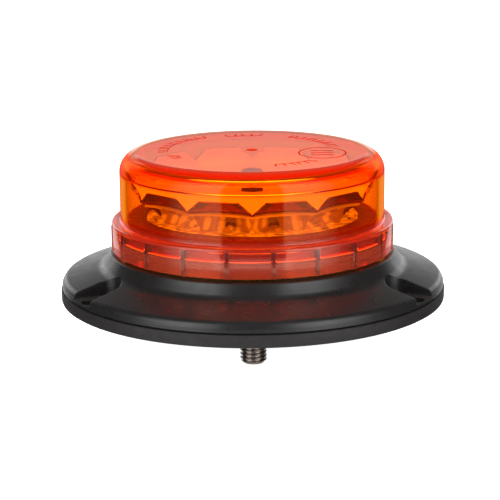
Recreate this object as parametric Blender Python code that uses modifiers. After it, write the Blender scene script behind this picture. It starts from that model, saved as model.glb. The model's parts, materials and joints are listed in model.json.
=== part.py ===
"""A low amber LED warning beacon on a three-pocket base with one M10 mounting stud.

Metres, +Z up. The origin is the centre of the mounting face, on the stud's axis, and the front is -Y.
The lens twists off anticlockwise on three helical lugs.
"""

import math

import bmesh
import bpy
from mathutils import Matrix, Vector

COLLECTION = "led_safety_flare"
CUTTERS = "cutters"
GAP = 0.0003  # between pieces that touch on the real object
OVER = 0.0010  # how far a cutter goes past the face that it cuts
SUNK = 0.0010  # how far an addition starts inside the piece that it joins
STEPS = 60  # segments of a full turn: three to each lens rib

# Base pad and flange
PAD_RADIUS = 0.0700
PAD_TOP = 0.0047
BASE_BOTTOM = PAD_TOP + GAP
RIM_RADIUS = 0.0696
FLOOR_TOP = 0.0080
BASE_CURVE = (  # the boss's foot and the flange's top, as (radius, height) outwards
    (0.0546, 0.0128),
    (0.0551, 0.0120),
    (0.0562, 0.0113),
    (0.0678, 0.0088),
    (0.0688, 0.0081),
    (0.0696, 0.0070),
)
EDGE = 0.0003  # small chamfers on the base's rims
SHOULDER_RADIUS = 0.0520
SHOULDER_TOP = 0.0175
SPIGOT_RADIUS = 0.0470
SPIGOT_TOP = 0.0223
NECK_RADIUS = 0.0453
NECK_TOP = 0.0260
CAVITY_RADIUS = 0.0426

# Screw pockets: U-shaped, open at the rim, for three M6 screws
POCKET_ANGLES = (-150, -30, 90)
POCKET_WIDTH = 0.0128
POCKET_END = 0.0542  # innermost reach from the axis
POCKET_FLOOR = 0.0062
POCKET_OPEN = 0.0300  # top of the space that is cut away over a pocket
POCKET_OUT = 0.0200  # how far that space runs outwards
SCREW_CIRCLE = 0.0650  # radius of the screw circle
SLOT_WIDTH = 0.0066
SLOT_LENGTH = 0.0076

# Mounting stud: M10, hexagon head held in a pocket in the base
STUD_RADIUS = 0.0050
STUD_END = -0.0260
STUD_CHAMFER = 0.0010
STUD_HOLE = 0.0054
STUD_JOIN = 0.0030  # how far the shank runs up into the head
WASHER_RADIUS = 0.0085
WASHER_BOTTOM = FLOOR_TOP + GAP
WASHER_TOP = WASHER_BOTTOM + 0.0020
HEAD_FLATS = 0.0170
HEAD_BOTTOM = WASHER_TOP + GAP
HEAD_HEIGHT = 0.0064
HEAD_TOP = HEAD_BOTTOM + HEAD_HEIGHT
HEX_POCKET_RADIUS = 0.0130
HEX_POCKET_TOP = 0.0160
SEAL_WIRE = 0.0009  # radius of the O-ring's section
SEAL_RING = 0.0064  # radius of the O-ring's centre line
SEAL_SEAT = 0.0076  # radius of the recess that it sits in

# Lens
LENS_TOP = 0.0540
LENS_RADIUS = 0.0480
LENS_WALL = 0.0022
LENS_SHOULDER = 0.0070
LENS_TOP_WALL = 0.0036  # the top and the shoulder are thicker than the side wall
INNER_STEP = 0.0005  # how far under the shoulder they begin
LIP_BOTTOM = 0.0242
LEDGE_TOP = 0.0292
SKIRT_RADIUS = 0.0512
SKIRT_WALL = 0.0016
SKIRT_BOTTOM = 0.0187
LEDGE_THICKNESS = 0.0016
LEDGE_ROUND = 0.0010
RIBS = 20
RIB_WIDTH = 0.0018
RIB_SUNK = 0.0004  # how far a web starts inside the dome's wall
RIB_BOTTOM = 0.0236  # bottom of the web between the dome's wall and the skirt
RIB_REACH = 0.0515
RIB_TOP = LEDGE_TOP - 0.0012
RIB_OFFSET = -10  # degrees of the first rib from the front
GRIP_INNER = 0.0504  # each web goes on outside the skirt as a full-height finger grip
GRIP_BOTTOM = SKIRT_BOTTOM + 0.0002

# Twist-off lugs: blocks that follow one helix
LUGS = 3
LUG_WIDTH = 16  # degrees
LUG_SECTIONS = 8
LEAD = 0.0240  # rise in one turn
BASE_LUG = (0.0466, 0.0492, 0.0207, 0.0217)  # inner and outer radius, bottom and top
LENS_LUG = (0.0476, 0.0501, 0.0188, 0.0203)
LUG_ANGLE = 90  # centre of the first lug

SEAL_OUTER = 0.0469  # the rubber ring under the lens's lip

# LED deck
BOARD_RADIUS = 0.0383
BOARD_BOTTOM = 0.0290
BOARD_TOP = 0.0306
SPREADER_BOTTOM = 0.0262
SPREADER_TOP = BOARD_BOTTOM - GAP
BEZEL_INNER = 0.0388
BEZEL_OUTER = 0.0450
BEZEL_TOP = 0.0310
BOARD_HOLE = 0.0018
LED_CIRCLE = 0.0336
LED_SIZE = 0.0035
LED_HEIGHT = 0.0008
LED_DOME = (0.0014, 0.0008, 0.0007)  # radius at its foot and at its top, and height
LINK_PLACE = (-0.0260, 0.0)  # the connector that joins the two boards
LINK_SIZE = (0.0040, 0.0120)
LINK_CLEAR = 0.0010  # wider by this in the heat spreader

# Reflector: a crown of twelve scoops
SCOOPS = 12
CROWN_BOTTOM = BOARD_TOP + GAP
NOTCH_BOTTOM = 0.0398
TOOTH_TOP = 0.0438
TOOTH_HALF = 9  # degrees from the scoop's centre to the tooth's corner
TOOTH_LEAN = 0.25  # how far a tooth leans out, as a share of its height
RIDGE_BOTTOM_RADIUS = 0.0353
RIDGE_TOP_RADIUS = 0.0446
SCOOP_DEPTH = 0.0044
CROWN_WALL = 0.0013
PLATE_TOP = 0.0395
PLATE_THICKNESS = 0.0015
HUB_RADIUS = 0.0055
HUB_HOLE = 0.0023
WAIST = 0.0035  # height over the crown's bottom where the inside narrows

# Driver board and what stands on it
DRIVER_RADIUS = 0.0400
DRIVER_HOLE = 0.0150
DRIVER_BOTTOM = 0.0185
DRIVER_TOP = 0.0201
POST_CIRCLE = 0.0200  # the base's posts under the LED deck
POST_ANGLES = (30, 150, 270)
POST_RADIUS = 0.0035
POST_TOP = SPREADER_BOTTOM - GAP
POST_HOLE = 0.0018
POST_HOLE_DEPTH = 0.0100
POST_CLEAR = 0.0006  # round a post in the driver board
STANDOFF_CIRCLE = 0.0330
STANDOFF_ANGLES = (0, 120, 240)
STANDOFF_FLATS = 0.0055
STANDOFF_HOLE = 0.0015
STANDOFF_HOLE_DEPTH = 0.0060
ROUND_PARTS = (  # name, radius, height, circle, degrees, look
    ("inductor", 0.0050, 0.0045, 0.0275, 60, "chip_black"),
    ("capacitor_1", 0.0025, 0.0054, 0.0330, 90, "aluminium"),
    ("capacitor_2", 0.0025, 0.0054, 0.0330, 103, "aluminium"),
    ("capacitor_3", 0.0020, 0.0050, 0.0330, 322, "aluminium"),
)
SQUARE_PARTS = (  # name, size, circle, degrees, own turn, look
    ("controller_chip", (0.0050, 0.0050, 0.0010), 0.0270, 210, 30, "chip_black"),
    ("driver_chip", (0.0050, 0.0040, 0.0015), 0.0300, 295, 25, "chip_black"),
    ("power_transistor", (0.0066, 0.0062, 0.0023), 0.0310, 28, 28, "chip_black"),
    ("suppressor_diode", (0.0043, 0.0036, 0.0023), 0.0330, 148, 58, "chip_black"),
    ("wire_terminal", (0.0070, 0.0076, 0.0050), 0.0310, 270, 0, "grey_plastic"),
)

# Screws: head radius, head height, shank radius, shank end
BOARD_SCREW = (0.0028, 0.0019, 0.0015, 0.0180)
REFLECTOR_SCREW = (0.0040, 0.0040, 0.0016, 0.0268)
DRIVER_SCREW = (0.0023, 0.0015, 0.0012, 0.0140)

# Fittings in the base's floor
GROMMET_PLACE = (-0.0280, 0.0120)
GROMMET_HOLE = 0.0056
GROMMET_FLANGE = 0.0012  # wider than its hole
GROMMET_TOP = FLOOR_TOP + 0.0023
GROMMET_BOTTOM = 0.0030
CABLE_HOLE = 0.0031
VENT_PLACE = (0.0280, 0.0120)
VENT_HOLE = 0.0035
VENT_FLANGE = 0.0010
VENT_TOP = FLOOR_TOP + 0.0012
VENT_BOTTOM = 0.0036
PAD_HOLE_CLEAR = 0.0015  # the pad's holes round both fittings are wider by this

COLOURS = {  # base colour, roughness, metallic
    "black_plastic": ((0.012, 0.012, 0.013), 0.38, 0.0),
    "black_rubber": ((0.020, 0.018, 0.018), 0.75, 0.0),
    "amber_lens": ((1.0, 0.22, 0.01), 0.08, 0.0),
    "deep_amber": ((0.60, 0.02, 0.0), 0.30, 0.0),
    "reflector_metal": ((0.85, 0.85, 0.83), 0.12, 1.0),
    "steel": ((0.52, 0.52, 0.50), 0.28, 1.0),
    "dark_steel": ((0.04, 0.04, 0.045), 0.40, 0.9),
    "aluminium": ((0.75, 0.75, 0.76), 0.35, 1.0),
    "brass": ((0.72, 0.52, 0.22), 0.30, 1.0),
    "board_white": ((0.80, 0.80, 0.76), 0.50, 0.0),
    "board_green": ((0.01, 0.14, 0.05), 0.45, 0.0),
    "led_package": ((0.90, 0.72, 0.20), 0.30, 0.0),
    "chip_black": ((0.015, 0.015, 0.015), 0.55, 0.0),
    "grey_plastic": ((0.25, 0.26, 0.27), 0.50, 0.0),
}


def clear_scene():
    for obj in list(bpy.data.objects):
        bpy.data.objects.remove(obj, do_unlink=True)


def collection(name):
    made = bpy.data.collections.new(name)
    bpy.context.scene.collection.children.link(made)
    return made


def material(name):
    if name in bpy.data.materials:
        return bpy.data.materials[name]
    colour, roughness, metallic = COLOURS[name]
    made = bpy.data.materials.new(name)
    made.use_nodes = True
    shader = made.node_tree.nodes["Principled BSDF"]
    shader.inputs["Base Color"].default_value = (*colour, 1.0)
    shader.inputs["Roughness"].default_value = roughness
    shader.inputs["Metallic"].default_value = metallic
    return made


def piece(name, mesh, look, smooth=True):
    """One sub-part: an object with this mesh and material, in the main collection."""
    obj = bpy.data.objects.new(name, mesh)
    bpy.data.collections[COLLECTION].objects.link(obj)
    mesh.materials.append(material(look))
    if smooth:
        mesh.shade_smooth()
        mesh.set_sharp_from_angle(angle=math.radians(32))
    return obj


def helper(name, mesh):
    """A cutter or an addition that a Boolean uses. It isn't a sub-part."""
    obj = bpy.data.objects.new(name, mesh)
    bpy.data.collections[CUTTERS].objects.link(obj)
    obj.hide_render = True
    obj.display_type = "WIRE"
    return obj


def combine(obj, other, operation="DIFFERENCE"):
    modifier = obj.modifiers.new(other.name, "BOOLEAN")
    modifier.operation = operation
    modifier.solver = "EXACT"
    modifier.object = other


def bevel(obj, width, segments=2, angle=40):
    modifier = obj.modifiers.new("edges", "BEVEL")
    modifier.width = width
    modifier.segments = segments
    modifier.limit_method = "ANGLE"
    modifier.angle_limit = math.radians(angle)


def mesh_from(name, build):
    """A mesh made by a function that fills a bmesh."""
    mesh = bpy.data.meshes.new(name)
    shape = bmesh.new()
    build(shape)
    bmesh.ops.recalc_face_normals(shape, faces=shape.faces)
    shape.to_mesh(mesh)
    shape.free()
    return mesh


def at(x=0.0, y=0.0, z=0.0, turn=0.0):
    return Matrix.Translation((x, y, z)) @ Matrix.Rotation(math.radians(turn), 4, "Z")


def polar(radius, degrees):
    angle = math.radians(degrees)
    return radius * math.cos(angle), radius * math.sin(angle)


def box(name, size, centre, turn=0.0):
    place = at(*centre, turn) @ Matrix.Diagonal((*size, 1.0))
    return mesh_from(name, lambda shape: bmesh.ops.create_cube(shape, size=1.0, matrix=place))


def cylinder(name, radius, bottom, top, place=(0.0, 0.0), segments=32, end_radius=None, turn=0.0):
    def build(shape):
        bmesh.ops.create_cone(
            shape,
            cap_ends=True,
            segments=segments,
            radius1=radius,
            radius2=radius if end_radius is None else end_radius,
            depth=top - bottom,
            matrix=at(*place, (bottom + top) / 2, turn),
        )

    return mesh_from(name, build)


def hexagon(name, flats, bottom, top, place=(0.0, 0.0)):
    return cylinder(name, flats / math.sqrt(3), bottom, top, place, segments=6)


def turned(obj, steps=STEPS):
    """Turns the object's profile, a chain of edges in the XZ plane, into a solid about Z."""
    modifier = obj.modifiers.new("turned", "SCREW")
    modifier.steps = steps
    modifier.render_steps = steps
    modifier.use_merge_vertices = True
    modifier.merge_threshold = 0.00001


def profile(name, points, closed=False):
    """A chain of edges through (radius, height) points, running down the outer side."""
    mesh = bpy.data.meshes.new(name)
    edges = [(i, i + 1) for i in range(len(points) - 1)]
    if closed:
        edges.append((len(points) - 1, 0))
    mesh.from_pydata([(radius, 0.0, height) for radius, height in points], edges, [])
    return mesh


def arc(centre, radius, start, end, steps):
    """Points of an arc in the XZ plane, from one angle to another, in degrees from +X."""
    found = []
    for step in range(steps + 1):
        angle = math.radians(start + (end - start) * step / steps)
        found.append((centre[0] + radius * math.cos(angle), centre[1] + radius * math.sin(angle)))
    return found


def loft(name, loops, wrap):
    """Quads between loops of points. The chain of loops closes on itself, or its ends are capped."""
    def build(shape):
        rows = [[shape.verts.new(point) for point in loop] for loop in loops]
        pairs = list(zip(rows, rows[1:] + rows[:1] if wrap else rows[1:]))
        for lower, upper in pairs:
            for i in range(len(lower)):
                j = (i + 1) % len(lower)
                shape.faces.new((lower[i], lower[j], upper[j], upper[i]))
        if not wrap:
            shape.faces.new(rows[0])
            shape.faces.new(rows[-1])

    return mesh_from(name, build)


def helical_lug(name, lug, centre):
    """A block that rises along the lens's helix as it turns about Z."""
    inner, outer, bottom, top = lug
    sections = []
    for step in range(LUG_SECTIONS + 1):
        turn = LUG_WIDTH * (step / LUG_SECTIONS - 0.5)
        rise = LEAD * turn / 360
        corners = ((inner, bottom), (outer, bottom), (outer, top), (inner, top))
        sections.append([(*polar(radius, centre + turn), height + rise) for radius, height in corners])
    return loft(name, sections, wrap=False)


def screw_pocket(name, angle):
    """A pocket's space: a cylinder at its inner end, joined with a box that runs out past the rim."""
    centre = POCKET_END + POCKET_WIDTH / 2
    place = polar(centre, angle)
    end = cylinder(name, POCKET_WIDTH / 2, POCKET_FLOOR, POCKET_OPEN, place, 24, turn=angle)
    round_end = helper(name, end)
    x, y = polar(centre + POCKET_OUT / 2, angle)
    size = (POCKET_OUT, POCKET_WIDTH, POCKET_OPEN - POCKET_FLOOR)
    body = box(name + "_body", size, (x, y, (POCKET_FLOOR + POCKET_OPEN) / 2), angle)
    combine(round_end, helper(name + "_body", body), "UNION")
    return round_end


def base_housing():
    outline = [
        (STUD_HOLE, FLOOR_TOP),
        (CAVITY_RADIUS, FLOOR_TOP),
        (CAVITY_RADIUS, NECK_TOP),
        (NECK_RADIUS - EDGE, NECK_TOP),
        (NECK_RADIUS, NECK_TOP - EDGE),
        (NECK_RADIUS, SPIGOT_TOP),
        (SPIGOT_RADIUS, SPIGOT_TOP),
        (SPIGOT_RADIUS, SHOULDER_TOP),
        (SHOULDER_RADIUS - EDGE, SHOULDER_TOP),
        (SHOULDER_RADIUS, SHOULDER_TOP - EDGE),
        *BASE_CURVE,
        (RIM_RADIUS, BASE_BOTTOM),
        (STUD_HOLE, BASE_BOTTOM),
    ]
    obj = piece("base_housing", profile("base_housing", outline, closed=True), "black_plastic")
    turned(obj)
    stud_pocket(obj)
    deck_posts(obj)
    for number in range(LUGS):
        name = f"base_lug_{number + 1}"
        lug = helical_lug(name, BASE_LUG, LUG_ANGLE + number * 360 / LUGS)
        combine(obj, helper(name, lug), "UNION")
    for number, angle in enumerate(POCKET_ANGLES, 1):
        combine(obj, screw_pocket(f"pocket_{number}", angle))
        combine(obj, screw_slot(f"base_slot_{number}", angle))
    fitting_holes(obj, "base", BASE_BOTTOM - OVER, FLOOR_TOP + OVER, 0.0)


def stud_pocket(base):
    """The ring whose hexagonal inside holds the stud's head, and the O-ring's seat under the floor."""
    name = "hex_pocket_ring"
    ring = helper(name, cylinder(name, HEX_POCKET_RADIUS, FLOOR_TOP - SUNK, HEX_POCKET_TOP))
    pocket = hexagon("hex_pocket", HEAD_FLATS + 2 * GAP, FLOOR_TOP - SUNK - OVER, HEAD_TOP)
    combine(ring, helper("hex_pocket", pocket))
    combine(base, ring, "UNION")
    seat = cylinder("seal_seat", SEAL_SEAT, PAD_TOP, BASE_BOTTOM + 2 * SEAL_WIRE + GAP)
    combine(base, helper("seal_seat", seat))


def deck_posts(base):
    for number, angle in enumerate(POST_ANGLES, 1):
        name = f"deck_post_{number}"
        place = polar(POST_CIRCLE, angle)
        post = cylinder(name, POST_RADIUS, FLOOR_TOP - SUNK, POST_TOP, place, 16)
        combine(base, helper(name, post), "UNION")
        name = f"deck_post_hole_{number}"
        hole = cylinder(name, POST_HOLE, POST_TOP - POST_HOLE_DEPTH, POST_TOP + OVER, place, 12)
        combine(base, helper(name, hole))


def fitting_holes(obj, prefix, bottom, top, wider):
    """The round holes for the cable grommet and the breather."""
    for name, place, radius in (
        ("grommet_hole", GROMMET_PLACE, GROMMET_HOLE),
        ("vent_hole", VENT_PLACE, VENT_HOLE),
    ):
        name = f"{prefix}_{name}"
        combine(obj, helper(name, cylinder(name, radius + wider, bottom, top, place, 24)))


def screw_slot(name, angle):
    """A radial slot for an M6 screw, right through the flange and the pad."""
    half = (SLOT_LENGTH - SLOT_WIDTH) / 2
    bottom = -OVER
    top = FLOOR_TOP + 2 * OVER
    x, y = polar(SCREW_CIRCLE, angle)
    middle = box(name, (2 * half, SLOT_WIDTH, top - bottom), (x, y, (bottom + top) / 2), angle)
    slot = helper(name, middle)
    for number, side in enumerate((-1, 1), 1):
        place = polar(SCREW_CIRCLE + side * half, angle)
        end_name = f"{name}_end_{number}"
        end = cylinder(end_name, SLOT_WIDTH / 2, bottom - OVER, top + OVER, place, 16, turn=angle)
        combine(slot, helper(end_name, end), "UNION")
    return slot


def base_gasket():
    outline = [
        (STUD_RADIUS + GAP, PAD_TOP),
        (PAD_RADIUS - 0.0004, PAD_TOP),
        (PAD_RADIUS, PAD_TOP - 0.0004),
        (PAD_RADIUS, 0.0006),
        (PAD_RADIUS - 0.0006, 0.0),
        (STUD_RADIUS + GAP, 0.0),
    ]
    obj = piece("base_gasket", profile("base_gasket", outline, closed=True), "black_rubber")
    turned(obj)
    for number, angle in enumerate(POCKET_ANGLES, 1):
        combine(obj, screw_slot(f"pad_slot_{number}", angle))
    fitting_holes(obj, "pad", -OVER, PAD_TOP + OVER, PAD_HOLE_CLEAR)


def stud_parts():
    outline = [
        (0.0, HEAD_BOTTOM + STUD_JOIN),
        (STUD_RADIUS, HEAD_BOTTOM + STUD_JOIN),
        (STUD_RADIUS, STUD_END + STUD_CHAMFER),
        (STUD_RADIUS - STUD_CHAMFER, STUD_END),
        (0.0, STUD_END),
    ]
    stud = piece("mounting_stud", profile("mounting_stud", outline), "steel")
    turned(stud, 32)
    head = hexagon("stud_head", HEAD_FLATS, HEAD_BOTTOM, HEAD_TOP)
    combine(stud, helper("stud_head", head), "UNION")
    washer = [
        (STUD_RADIUS + GAP, WASHER_TOP),
        (WASHER_RADIUS, WASHER_TOP),
        (WASHER_RADIUS, WASHER_BOTTOM),
        (STUD_RADIUS + GAP, WASHER_BOTTOM),
    ]
    turned(piece("stud_washer", profile("stud_washer", washer, closed=True), "steel"), 32)
    height = BASE_BOTTOM + SEAL_WIRE + GAP / 2
    section = arc((SEAL_RING, height), SEAL_WIRE, 90, -234, 9)
    turned(piece("stud_seal", profile("stud_seal", section, closed=True), "black_rubber"), 32)


def lens():
    inner_radius = LENS_RADIUS - LENS_WALL
    inner_round = LENS_SHOULDER - LENS_TOP_WALL
    skirt_inner = SKIRT_RADIUS - SKIRT_WALL
    ledge_bottom = LEDGE_TOP - LEDGE_THICKNESS
    centre = (LENS_RADIUS - LENS_SHOULDER, LENS_TOP - LENS_SHOULDER)
    outline = [(0.0, LENS_TOP)]
    outline += arc(centre, LENS_SHOULDER, 90, 0, 5)
    outline += [(LENS_RADIUS, LEDGE_TOP)]
    outline += arc((SKIRT_RADIUS - LEDGE_ROUND, LEDGE_TOP - LEDGE_ROUND), LEDGE_ROUND, 90, 0, 2)
    outline += [
        (SKIRT_RADIUS, SKIRT_BOTTOM),
        (skirt_inner, SKIRT_BOTTOM),
        (skirt_inner, ledge_bottom),
        (LENS_RADIUS, ledge_bottom),
        (LENS_RADIUS, LIP_BOTTOM),
        (inner_radius, LIP_BOTTOM),
    ]
    outline += [(inner_radius, centre[1] - INNER_STEP)]
    outline += [(centre[0] + inner_round, centre[1] - INNER_STEP)]
    outline += arc(centre, inner_round, 0, 90, 4)
    outline += [(0.0, LENS_TOP - LENS_TOP_WALL)]
    obj = piece("lens", profile("lens", outline), "amber_lens")
    turned(obj)
    for number in range(RIBS):
        name = f"rib_{number + 1:02d}"
        combine(obj, helper(name, rib(name, RIB_OFFSET - 90 + number * 360 / RIBS)), "UNION")
    for number in range(LUGS):
        name = f"lens_lug_{number + 1}"
        lug = helical_lug(name, LENS_LUG, LUG_ANGLE + number * 360 / LUGS)
        combine(obj, helper(name, lug), "UNION")


def rib(name, angle):
    """A web between the dome and the skirt, and its grip down the outside, in one L-shaped block."""
    outline = (
        (LENS_RADIUS - RIB_SUNK, RIB_BOTTOM),
        (LENS_RADIUS - RIB_SUNK, RIB_TOP),
        (RIB_REACH, RIB_TOP),
        (RIB_REACH, GRIP_BOTTOM),
        (GRIP_INNER, GRIP_BOTTOM),
        (GRIP_INNER, RIB_BOTTOM),
    )
    turn = Matrix.Rotation(math.radians(angle), 4, "Z")
    sides = []
    for across in (-RIB_WIDTH / 2, RIB_WIDTH / 2):
        sides.append([turn @ Vector((radius, across, height)) for radius, height in outline])
    return loft(name, sides, wrap=False)


def ring(name, inner, outer, bottom, top, look):
    outline = [(inner, top), (outer, top), (outer, bottom), (inner, bottom)]
    turned(piece(name, profile(name, outline, closed=True), look))


def rings():
    """The rubber seal under the lens lip, and the bezel between the LED board and the lens."""
    low = SPIGOT_TOP + GAP
    high = LIP_BOTTOM - GAP
    ring("lens_seal", NECK_RADIUS + GAP, SEAL_OUTER, low, high, "black_rubber")
    ring("inner_bezel", BEZEL_INNER, BEZEL_OUTER, NECK_TOP + GAP, BEZEL_TOP, "deep_amber")


def scoop_radius(phi, height):
    """Outer radius of the reflector, phi degrees from a scoop's centre, at this height."""
    half = math.radians(180 / SCOOPS)
    rise = min(height, NOTCH_BOTTOM) - CROWN_BOTTOM
    full = NOTCH_BOTTOM - CROWN_BOTTOM
    spread = RIDGE_TOP_RADIUS - RIDGE_BOTTOM_RADIUS
    ridge = RIDGE_BOTTOM_RADIUS + spread * (0.34 * rise / full + 0.66 * (rise / full) ** 2)
    ridge += TOOTH_LEAN * max(0.0, height - NOTCH_BOTTOM)
    flat = ridge * math.cos(half) / math.cos(math.radians(phi))
    depth = SCOOP_DEPTH * (TOOTH_TOP - height) / (TOOTH_TOP - CROWN_BOTTOM)
    across = math.radians(phi) / half
    return flat - depth * (1 - across * across)


def crown_top(phi):
    """Height of the reflector's rim, phi degrees from a scoop's centre."""
    if abs(phi) <= TOOTH_HALF:
        return TOOTH_TOP
    slope = (abs(phi) - TOOTH_HALF) / (180 / SCOOPS - TOOTH_HALF)
    return TOOTH_TOP - slope * (TOOTH_TOP - NOTCH_BOTTOM)


def crown_loop(radius, height):
    """One loop of the reflector. radius and height are functions of the angle from a scoop's centre."""
    found = []
    pitch = 360 / SCOOPS
    for step in range(STEPS):
        angle = step * 360 / STEPS
        phi = (angle % pitch) - pitch / 2
        found.append((*polar(radius(phi), angle - 90), height(phi)))
    return found


def reflector():
    def outer(part, inset=0.0):
        def height(phi):
            return CROWN_BOTTOM + part * (crown_top(phi) - CROWN_BOTTOM)

        return crown_loop(lambda phi: scoop_radius(phi, height(phi)) - inset, height)

    def inner(height):
        return crown_loop(lambda phi: scoop_radius(phi, height) - CROWN_WALL, lambda phi: height)

    def circle(radius, height):
        return crown_loop(lambda phi: radius, lambda phi: height)

    plate_bottom = PLATE_TOP - PLATE_THICKNESS
    loops = [outer(part) for part in (0.0, 0.25, 0.5, 0.75, 1.0)]
    loops += [outer(1.0, CROWN_WALL), inner(PLATE_TOP)]
    loops += [circle(HUB_HOLE, PLATE_TOP), circle(HUB_HOLE, CROWN_BOTTOM)]
    loops += [circle(HUB_RADIUS, CROWN_BOTTOM), circle(HUB_RADIUS, plate_bottom)]
    loops += [inner(plate_bottom), inner(CROWN_BOTTOM + WAIST), inner(CROWN_BOTTOM)]
    piece("reflector", loft("reflector", loops, wrap=True), "reflector_metal")


def pan_screw(name, place, seat, screw, look):
    """A pan-head screw with a cross recess. screw is one of the screw sizes above."""
    radius, height, shank, end = screw
    outline = [
        (0.0, seat + height),
        (0.55 * radius, seat + height),
        (0.90 * radius, seat + 0.85 * height),
        (radius, seat + 0.50 * height),
        (radius, seat),
        (shank, seat),
        (shank, end),
        (0.0, end),
    ]
    obj = piece(name, profile(name, outline), look)
    obj.location = (*place, 0.0)
    turned(obj, 20)
    long_side = 1.20 * radius
    short_side = 0.28 * radius
    for number, size in enumerate(((long_side, short_side), (short_side, long_side)), 1):
        cutter_name = f"{name}_recess_{number}"
        recess = box(cutter_name, (*size, 3 * short_side), (*place, seat + height))
        combine(obj, helper(cutter_name, recess))


def led_deck():
    board_disc = cylinder("led_board", BOARD_RADIUS, BOARD_BOTTOM, BOARD_TOP, segments=STEPS)
    board = piece("led_board", board_disc, "board_white")
    radius = BOARD_RADIUS - GAP
    plate = cylinder("heat_spreader", radius, SPREADER_BOTTOM, SPREADER_TOP, segments=STEPS)
    spreader = piece("heat_spreader", plate, "aluminium")
    for number, place in enumerate([(0.0, 0.0)] + [polar(POST_CIRCLE, a) for a in POST_ANGLES], 1):
        name = f"deck_hole_{number}"
        hole = cylinder(name, BOARD_HOLE, SPREADER_BOTTOM - OVER, BOARD_TOP + OVER, place, 16)
        cutter = helper(name, hole)
        combine(board, cutter)
        combine(spreader, cutter)
    window = [side + 2 * LINK_CLEAR for side in LINK_SIZE]
    height = 2 * (SPREADER_TOP - SPREADER_BOTTOM + GAP / 2)
    link = box("link_window", (*window, height), (*LINK_PLACE, SPREADER_BOTTOM))
    combine(spreader, helper("link_window", link))
    for number in range(SCOOPS):
        led(f"led_{number + 1:02d}", -90 + (number + 0.5) * 360 / SCOOPS)
    seat = BOARD_TOP + GAP
    for number, angle in enumerate(POST_ANGLES, 1):
        pan_screw(f"board_screw_{number}", polar(POST_CIRCLE, angle), seat, BOARD_SCREW, "steel")
    pan_screw("reflector_screw", (0.0, 0.0), PLATE_TOP + GAP, REFLECTOR_SCREW, "dark_steel")


def led(name, angle):
    """A square package with a low dome on it."""
    place = polar(LED_CIRCLE, angle)
    low = BOARD_TOP + GAP
    high = low + LED_HEIGHT
    mesh = box(name, (LED_SIZE, LED_SIZE, LED_HEIGHT), (0.0, 0.0, (low + high) / 2))
    package = piece(name, mesh, "led_package")
    package.location = (*place, 0.0)
    package.rotation_euler.z = math.radians(angle)
    foot, top, height = LED_DOME
    dome = cylinder(name + "_dome", foot, high - GAP, high + height, place, 12, top)
    combine(package, helper(name + "_dome", dome), "UNION")


def driver_deck():
    outline = [
        (DRIVER_HOLE, DRIVER_TOP),
        (DRIVER_RADIUS, DRIVER_TOP),
        (DRIVER_RADIUS, DRIVER_BOTTOM),
        (DRIVER_HOLE, DRIVER_BOTTOM),
    ]
    board = piece("driver_board", profile("driver_board", outline, closed=True), "board_green")
    turned(board)
    for number, angle in enumerate(POST_ANGLES, 1):
        place = polar(POST_CIRCLE, angle)
        board_hole(board, f"driver_post_hole_{number}", POST_RADIUS + POST_CLEAR, place)
    for number, angle in enumerate(STANDOFF_ANGLES, 1):
        place = polar(STANDOFF_CIRCLE, angle)
        board_hole(board, f"driver_screw_hole_{number}", STANDOFF_HOLE, place)
        standoff(f"board_standoff_{number}", place)
        pan_screw(f"driver_screw_{number}", place, DRIVER_TOP + GAP, DRIVER_SCREW, "steel")
    components()


def board_hole(board, name, radius, place):
    hole = cylinder(name, radius, DRIVER_BOTTOM - OVER, DRIVER_TOP + OVER, place, 16)
    combine(board, helper(name, hole))


def standoff(name, place):
    top = DRIVER_BOTTOM - GAP
    mesh = hexagon(name, STANDOFF_FLATS, FLOOR_TOP + GAP, top, place)
    obj = piece(name, mesh, "brass", smooth=False)
    hole = cylinder(name + "_hole", STANDOFF_HOLE, top - STANDOFF_HOLE_DEPTH, top + OVER, place, 12)
    combine(obj, helper(name + "_hole", hole))


def components():
    low = DRIVER_TOP + GAP
    for name, radius, height, circle, angle, look in ROUND_PARTS:
        mesh = cylinder(name, radius, low, low + height, polar(circle, angle), 24)
        bevel(piece(name, mesh, look), GAP, 1)
    for name, size, circle, angle, turn, look in SQUARE_PARTS:
        block(name, size, polar(circle, angle), turn, look)
    link_size = (*LINK_SIZE, BOARD_BOTTOM - GAP - low)
    block("link_connector", link_size, LINK_PLACE, 0, "chip_black")


def block(name, size, place, turn, look):
    """A box that stands on the driver board."""
    centre = (0.0, 0.0, DRIVER_TOP + GAP + size[2] / 2)
    part = piece(name, box(name, size, centre), look, smooth=False)
    part.location = (*place, 0.0)
    part.rotation_euler.z = math.radians(turn)


def floor_fittings():
    """The rubber inlet for the supply lead, and the breather."""
    groove = GROMMET_HOLE - GAP
    flange = GROMMET_HOLE + GROMMET_FLANGE
    outline = [
        (CABLE_HOLE, GROMMET_TOP),
        (flange, GROMMET_TOP - 2 * GAP),
        (flange, FLOOR_TOP + GAP),
        (groove, FLOOR_TOP + GAP),
        (groove, BASE_BOTTOM - GAP),
        (flange - GAP / 2, BASE_BOTTOM - GAP),
        (flange - GAP, GROMMET_BOTTOM),
        (CABLE_HOLE, GROMMET_BOTTOM),
    ]
    grommet = piece("cable_grommet", profile("cable_grommet", outline, closed=True), "black_rubber")
    grommet.location = (*GROMMET_PLACE, 0.0)
    turned(grommet, 24)
    outline = [
        (0.0, VENT_TOP),
        (VENT_HOLE + VENT_FLANGE, VENT_TOP),
        (VENT_HOLE + VENT_FLANGE, FLOOR_TOP + GAP),
        (VENT_HOLE - GAP, FLOOR_TOP + GAP),
        (VENT_HOLE - GAP, VENT_BOTTOM),
        (0.0, VENT_BOTTOM),
    ]
    vent = piece("vent_plug", profile("vent_plug", outline), "grey_plastic")
    vent.location = (*VENT_PLACE, 0.0)
    turned(vent, 24)


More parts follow.
